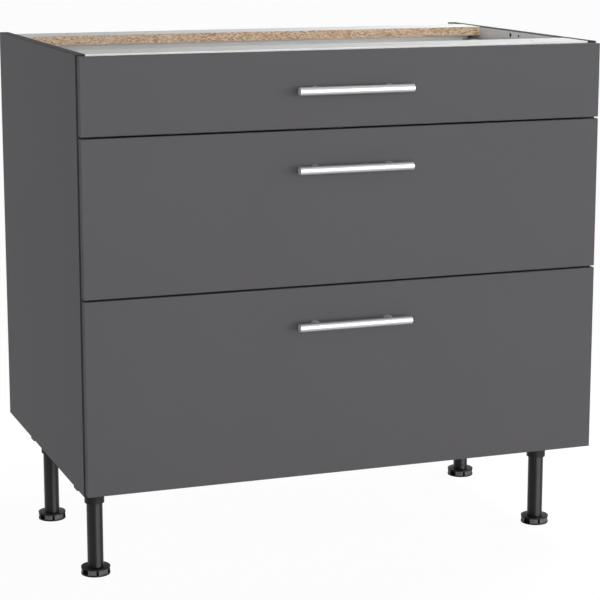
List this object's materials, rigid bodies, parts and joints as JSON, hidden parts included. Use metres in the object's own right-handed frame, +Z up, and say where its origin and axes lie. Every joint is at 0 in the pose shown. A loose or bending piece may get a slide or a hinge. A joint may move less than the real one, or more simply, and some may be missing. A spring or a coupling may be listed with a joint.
{
  "type": "kitchen base cabinet",
  "caption": "Kitchen base cabinet with full-width drawers, anthracite fronts, bar handles and black adjustable legs",
  "frame": {"origin": "on the floor under the middle of the bounding box", "axes": "+X to the right as the user faces the drawers, +Y to the wall behind, +Z up"},
  "size_m": [0.9, 0.62, 0.872],
  "materials": {
    "anthracite_board": "melamine-faced chipboard, matte anthracite decor with matching edge banding",
    "light_board": "melamine-faced chipboard, light grey-white, cut edges partly raw",
    "hdf": "thin high-density fibreboard, light lacquered face",
    "beech": "beech dowel, fluted and unfinished",
    "satin_handle": "satin stainless steel tube handle",
    "zinc_steel": "zinc-plated sheet steel and screws",
    "zinc_die_cast": "zinc die-cast cam, matte",
    "grey_drawer_steel": "powder-coated steel drawer sides, silver grey",
    "black_plastic": "moulded black plastic, matte",
    "clear_pad": "soft clear bumper pad"
  },
  "bodies": {
    "carcass": {"side_panel_left": "anthracite_board", "side_panel_right": "anthracite_board", "bottom_panel": "light_board", "front_rail": "light_board", "rear_rail": "light_board", "back_panel": "hdf", "dowels": "beech", "cam_bolts": "zinc_steel", "cam_housings": "zinc_die_cast", "bumpers": "clear_pad", "leg_sockets": "black_plastic", "plate_screws": "zinc_steel", "runner_screws": "zinc_steel", "leg_tube_front_left": "black_plastic", "leg_tube_front_right": "black_plastic", "leg_tube_rear_left": "black_plastic", "leg_tube_rear_right": "black_plastic", "cabinet_rails_bottom": "zinc_steel", "cabinet_rails_middle": "zinc_steel", "cabinet_rails_top": "zinc_steel"},
    "foot_front_left": {"foot_front_left": "black_plastic"},
    "foot_front_right": {"foot_front_right": "black_plastic"},
    "foot_rear_left": {"foot_rear_left": "black_plastic"},
    "foot_rear_right": {"foot_rear_right": "black_plastic"},
    "drawer_bottom": {"front_bottom": "anthracite_board", "handle_bar_bottom": "satin_handle", "handle_posts_bottom": "satin_handle", "handle_screws_bottom": "zinc_steel", "drawer_side_left_bottom": "grey_drawer_steel", "drawer_side_right_bottom": "grey_drawer_steel", "drawer_base_bottom": "light_board", "drawer_back_bottom": "light_board", "front_brackets_bottom": "grey_drawer_steel", "drawer_rails_bottom": "zinc_steel", "gallery_rails_bottom": "grey_drawer_steel"},
    "intermediate_bottom": {"intermediate_rails_bottom": "zinc_steel"},
    "drawer_middle": {"front_middle": "anthracite_board", "handle_bar_middle": "satin_handle", "handle_posts_middle": "satin_handle", "handle_screws_middle": "zinc_steel", "drawer_side_left_middle": "grey_drawer_steel", "drawer_side_right_middle": "grey_drawer_steel", "drawer_base_middle": "light_board", "drawer_back_middle": "light_board", "front_brackets_middle": "grey_drawer_steel", "drawer_rails_middle": "zinc_steel", "gallery_rails_middle": "grey_drawer_steel"},
    "intermediate_middle": {"intermediate_rails_middle": "zinc_steel"},
    "drawer_top": {"front_top": "anthracite_board", "handle_bar_top": "satin_handle", "handle_posts_top": "satin_handle", "handle_screws_top": "zinc_steel", "drawer_side_left_top": "grey_drawer_steel", "drawer_side_right_top": "grey_drawer_steel", "drawer_base_top": "light_board", "drawer_back_top": "light_board", "front_brackets_top": "grey_drawer_steel", "drawer_rails_top": "zinc_steel"},
    "intermediate_top": {"intermediate_rails_top": "zinc_steel"}
  },
  "joints": [
    {"name": "drawer_bottom_slide", "type": "slide", "parent": "carcass", "child": "drawer_bottom", "axis": [0, -1, 0], "range_m": [0, 0.43]},
    {"name": "intermediate_bottom_slide", "type": "slide", "parent": "carcass", "child": "intermediate_bottom", "axis": [0, -1, 0], "range_m": [0, 0.215]},
    {"name": "drawer_middle_slide", "type": "slide", "parent": "carcass", "child": "drawer_middle", "axis": [0, -1, 0], "range_m": [0, 0.43]},
    {"name": "intermediate_middle_slide", "type": "slide", "parent": "carcass", "child": "intermediate_middle", "axis": [0, -1, 0], "range_m": [0, 0.215]},
    {"name": "drawer_top_slide", "type": "slide", "parent": "carcass", "child": "drawer_top", "axis": [0, -1, 0], "range_m": [0, 0.43]},
    {"name": "intermediate_top_slide", "type": "slide", "parent": "carcass", "child": "intermediate_top", "axis": [0, -1, 0], "range_m": [0, 0.215]},
    {"name": "foot_front_left_screw", "type": "slide", "parent": "carcass", "child": "foot_front_left", "axis": [0, 0, -1], "range_m": [0, 0.02]},
    {"name": "foot_front_right_screw", "type": "slide", "parent": "carcass", "child": "foot_front_right", "axis": [0, 0, -1], "range_m": [0, 0.02]},
    {"name": "foot_rear_left_screw", "type": "slide", "parent": "carcass", "child": "foot_rear_left", "axis": [0, 0, -1], "range_m": [0, 0.02]},
    {"name": "foot_rear_right_screw", "type": "slide", "parent": "carcass", "child": "foot_rear_right", "axis": [0, 0, -1], "range_m": [0, 0.02]}
  ],
  "couplings": [
    {"joint": "intermediate_bottom_slide", "follows": "drawer_bottom_slide", "ratio": 0.5},
    {"joint": "intermediate_middle_slide", "follows": "drawer_middle_slide", "ratio": 0.5},
    {"joint": "intermediate_top_slide", "follows": "drawer_top_slide", "ratio": 0.5}
  ]
}
